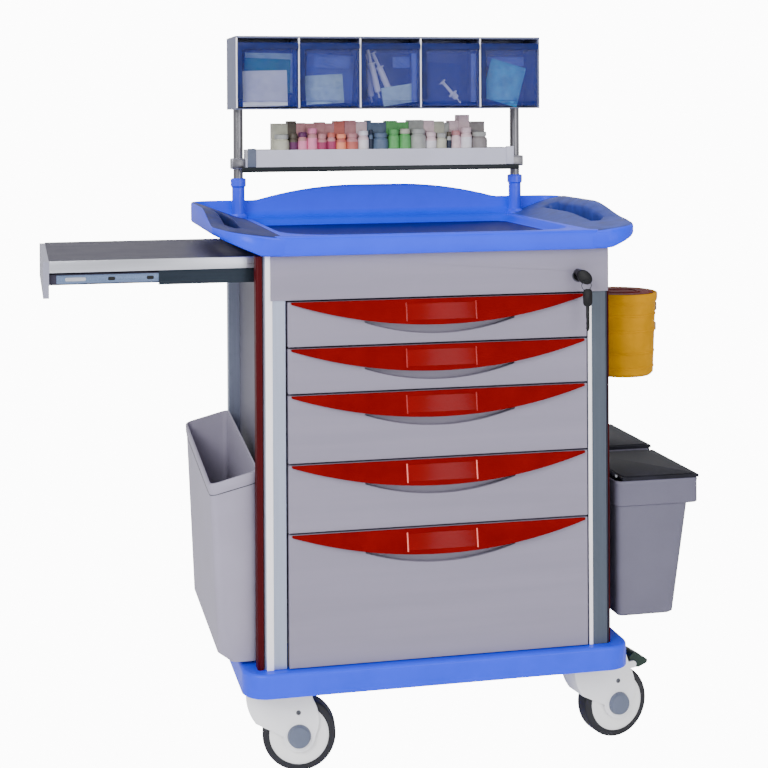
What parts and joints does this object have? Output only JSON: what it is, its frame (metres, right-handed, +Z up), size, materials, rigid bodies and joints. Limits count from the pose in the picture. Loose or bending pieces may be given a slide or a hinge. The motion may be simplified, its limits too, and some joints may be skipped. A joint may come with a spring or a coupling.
{
  "type": "medicine trolley",
  "caption": "Hospital medicine trolley with bowed-grip drawers, recessed worktop, pull-out shelf, overhead tilting bins, side waste bins, a sharps tub and swivel casters.",
  "frame": {"origin": "centre of the whole outline, at floor level", "axes": "+X to the trolley's right as seen from the drawers' side, +Y from the drawer fronts to the back, +Z up"},
  "size_m": [1.144, 0.5364, 1.262],
  "materials": {
    "base_blue": "soft gloss moulded",
    "chassis_steel": "satin powder coat",
    "column_aluminium": "satin anodised, polished corner",
    "trim_red": "soft gloss",
    "panel_paint": "satin powder coat",
    "front_grey": "fine satin grain",
    "handle_red": "soft gloss",
    "tray_plastic": "satin moulded",
    "rail_steel": "zinc plated",
    "worktop_blue": "soft gloss moulded",
    "shelf_grey": "satin with brushed lip",
    "pull_grey": "satin",
    "slide_steel": "zinc plated, greased",
    "sleeve_blue": "soft gloss moulded",
    "post_aluminium": "satin drawn",
    "housing_silver": "satin",
    "bin_blue": "translucent gloss",
    "supply_plastic": "satin",
    "bracket_steel": "satin powder coat",
    "tub_yellow": "translucent satin",
    "tub_lid_red": "soft gloss",
    "waste_grey": "satin moulded",
    "waste_lid": "satin moulded",
    "key_black": "plated barrel, black key bow",
    "lock_steel": "zinc plated",
    "hood_white": "soft gloss",
    "rim_white": "soft gloss",
    "caster_tyre": "smooth tread",
    "pedal_green": "soft gloss"
  },
  "bodies": {
    "cart": {"back_panel": "panel_paint", "base_cover": "base_blue", "bin_housing": "housing_silver", "cabinet_rails": "rail_steel", "chassis_frame": "chassis_steel", "corner_columns": "column_aluminium", "left_waste_bin": "waste_grey", "post_sleeves": "sleeve_blue", "right_waste_bins": "waste_grey", "sharps_tub": "tub_yellow", "side_brackets": "bracket_steel", "side_panel_left": "panel_paint", "side_panel_right": "panel_paint", "side_trim_strips": "trim_red", "supply_tray": "supply_plastic", "support_posts": "post_aluminium", "top_fascia": "front_grey", "worktop": "worktop_blue"},
    "side_shelf": {"shelf_board": "shelf_grey", "shelf_pull": "pull_grey"},
    "shelf_slides": {"shelf_slide_middles": "slide_steel"},
    "lock_cylinder": {"lock_key": "key_black"},
    "locking_bar": {"lock_bar": "lock_steel"},
    "sharps_flap": {"sharps_lid": "tub_lid_red"},
    "front_waste_lid": {"waste_lid_front": "waste_lid"},
    "rear_waste_lid": {"waste_lid_rear": "waste_lid"},
    "drawer_1": {"drawer_front_1": "front_grey", "drawer_handle_1": "handle_red", "drawer_tray_1": "tray_plastic"},
    "drawer_2": {"drawer_front_2": "front_grey", "drawer_handle_2": "handle_red", "drawer_tray_2": "tray_plastic"},
    "drawer_3": {"drawer_front_3": "front_grey", "drawer_handle_3": "handle_red", "drawer_tray_3": "tray_plastic"},
    "drawer_4": {"drawer_front_4": "front_grey", "drawer_handle_4": "handle_red", "drawer_tray_4": "tray_plastic"},
    "drawer_5": {"drawer_front_5": "front_grey", "drawer_handle_5": "handle_red", "drawer_tray_5": "tray_plastic"},
    "tilting_bin_1": {"tilt_bin_1": "bin_blue"},
    "tilting_bin_2": {"tilt_bin_2": "bin_blue"},
    "tilting_bin_3": {"tilt_bin_3": "bin_blue"},
    "tilting_bin_4": {"tilt_bin_4": "bin_blue"},
    "tilting_bin_5": {"tilt_bin_5": "bin_blue"},
    "caster_front_left": {"caster_fork_front_left": "hood_white"},
    "wheel_front_left": {"caster_tyre_front_left": "caster_tyre", "caster_rim_front_left": "rim_white"},
    "caster_front_right": {"caster_fork_front_right": "hood_white"},
    "wheel_front_right": {"caster_tyre_front_right": "caster_tyre", "caster_rim_front_right": "rim_white"},
    "brake_front_right": {"brake_pedal_front_right": "pedal_green"},
    "caster_rear_left": {"caster_fork_rear_left": "hood_white"},
    "wheel_rear_left": {"caster_tyre_rear_left": "caster_tyre", "caster_rim_rear_left": "rim_white"},
    "brake_rear_left": {"brake_pedal_rear_left": "pedal_green"},
    "caster_rear_right": {"caster_fork_rear_right": "hood_white"},
    "wheel_rear_right": {"caster_tyre_rear_right": "caster_tyre", "caster_rim_rear_right": "rim_white"}
  },
  "joints": [
    {"name": "drawer_1_slide", "type": "slide", "parent": "cart", "child": "drawer_1", "axis": [0, -1, 0], "range_m": [0, 0.36]},
    {"name": "drawer_2_slide", "type": "slide", "parent": "cart", "child": "drawer_2", "axis": [0, -1, 0], "range_m": [0, 0.36]},
    {"name": "drawer_3_slide", "type": "slide", "parent": "cart", "child": "drawer_3", "axis": [0, -1, 0], "range_m": [0, 0.36]},
    {"name": "drawer_4_slide", "type": "slide", "parent": "cart", "child": "drawer_4", "axis": [0, -1, 0], "range_m": [0, 0.36]},
    {"name": "drawer_5_slide", "type": "slide", "parent": "cart", "child": "drawer_5", "axis": [0, -1, 0], "range_m": [0, 0.36]},
    {"name": "side_shelf_slide", "type": "slide", "parent": "cart", "child": "side_shelf", "axis": [1, 0, 0], "range_m": [0, 0.357]},
    {"name": "shelf_slides_follow", "type": "slide", "parent": "cart", "child": "shelf_slides", "axis": [1, 0, 0], "range_m": [0, 0.179]},
    {"name": "tilting_bin_1_tip", "type": "hinge", "parent": "cart", "child": "tilting_bin_1", "pos_m": [-0.1484, 0.1078, 1.134], "axis": [1, 0, 0], "range_deg": [0, 45]},
    {"name": "tilting_bin_2_tip", "type": "hinge", "parent": "cart", "child": "tilting_bin_2", "pos_m": [-0.0292, 0.1078, 1.134], "axis": [1, 0, 0], "range_deg": [0, 45]},
    {"name": "tilting_bin_3_tip", "type": "hinge", "parent": "cart", "child": "tilting_bin_3", "pos_m": [0.09, 0.1078, 1.134], "axis": [1, 0, 0], "range_deg": [0, 45]},
    {"name": "tilting_bin_4_tip", "type": "hinge", "parent": "cart", "child": "tilting_bin_4", "pos_m": [0.2092, 0.1078, 1.134], "axis": [1, 0, 0], "range_deg": [0, 45]},
    {"name": "tilting_bin_5_tip", "type": "hinge", "parent": "cart", "child": "tilting_bin_5", "pos_m": [0.3284, 0.1078, 1.134], "axis": [1, 0, 0], "range_deg": [0, 45]},
    {"name": "lock_turn", "type": "hinge", "parent": "cart", "child": "lock_cylinder", "pos_m": [0.338, -0.2352, 0.833], "axis": [0, -1, 0], "range_deg": [0, 90.5]},
    {"name": "locking_bar_drop", "type": "slide", "parent": "cart", "child": "locking_bar", "axis": [0, 0, -1], "range_m": [0, 0.012]},
    {"name": "sharps_flap_hinge", "type": "hinge", "parent": "cart", "child": "sharps_flap", "pos_m": [0.4175, -0.0852, 0.786], "axis": [0, -1, 0], "range_deg": [0, 70]},
    {"name": "front_waste_lid_hinge", "type": "hinge", "parent": "cart", "child": "front_waste_lid", "pos_m": [0.422, -0.1162, 0.471], "axis": [0, -1, 0], "range_deg": [0, 75]},
    {"name": "rear_waste_lid_hinge", "type": "hinge", "parent": "cart", "child": "rear_waste_lid", "pos_m": [0.422, 0.0928, 0.478], "axis": [0, -1, 0], "range_deg": [0, 75]},
    {"name": "caster_front_left_swivel", "type": "hinge", "parent": "cart", "child": "caster_front_left", "pos_m": [-0.197, -0.1692, 0.137], "axis": [0, 0, 1], "continuous": true},
    {"name": "wheel_front_left_roll", "type": "hinge", "parent": "caster_front_left", "child": "wheel_front_left", "pos_m": [-0.14663, -0.17718, 0.0625], "axis": [0.1564, 0.9877, 0], "continuous": true},
    {"name": "caster_front_right_swivel", "type": "hinge", "parent": "cart", "child": "caster_front_right", "pos_m": [0.377, -0.1692, 0.137], "axis": [0, 0, 1], "continuous": true},
    {"name": "wheel_front_right_roll", "type": "hinge", "parent": "caster_front_right", "child": "wheel_front_right", "pos_m": [0.42723, -0.16034, 0.0625], "axis": [-0.1736, 0.9848, 0], "continuous": true},
    {"name": "brake_front_right_press", "type": "hinge", "parent": "caster_front_right", "child": "brake_front_right", "pos_m": [0.45775, -0.15496, 0.127], "axis": [-0.1736, 0.9848, 0], "range_deg": [0, 15]},
    {"name": "caster_rear_left_swivel", "type": "hinge", "parent": "cart", "child": "caster_rear_left", "pos_m": [-0.178, 0.1528, 0.137], "axis": [0, 0, 1], "continuous": true},
    {"name": "wheel_rear_left_roll", "type": "hinge", "parent": "caster_rear_left", "child": "wheel_rear_left", "pos_m": [-0.17267, 0.20352, 0.0625], "axis": [-0.9945, 0.1045, 0], "continuous": true},
    {"name": "brake_rear_left_press", "type": "hinge", "parent": "caster_rear_left", "child": "brake_rear_left", "pos_m": [-0.16943, 0.23435, 0.127], "axis": [-0.9945, 0.1045, 0], "range_deg": [0, 15]},
    {"name": "caster_rear_right_swivel", "type": "hinge", "parent": "cart", "child": "caster_rear_right", "pos_m": [0.358, 0.1528, 0.137], "axis": [0, 0, 1], "continuous": true},
    {"name": "wheel_rear_right_roll", "type": "hinge", "parent": "caster_rear_right", "child": "wheel_rear_right", "pos_m": [0.3686, 0.20269, 0.0625], "axis": [-0.9781, 0.2079, 0], "continuous": true}
  ],
  "couplings": [
    {"joint": "shelf_slides_follow", "follows": "side_shelf_slide", "ratio": 0.5},
    {"joint": "lock_turn", "follows": "locking_bar_drop", "rad_per_m": 130.89}
  ]
}
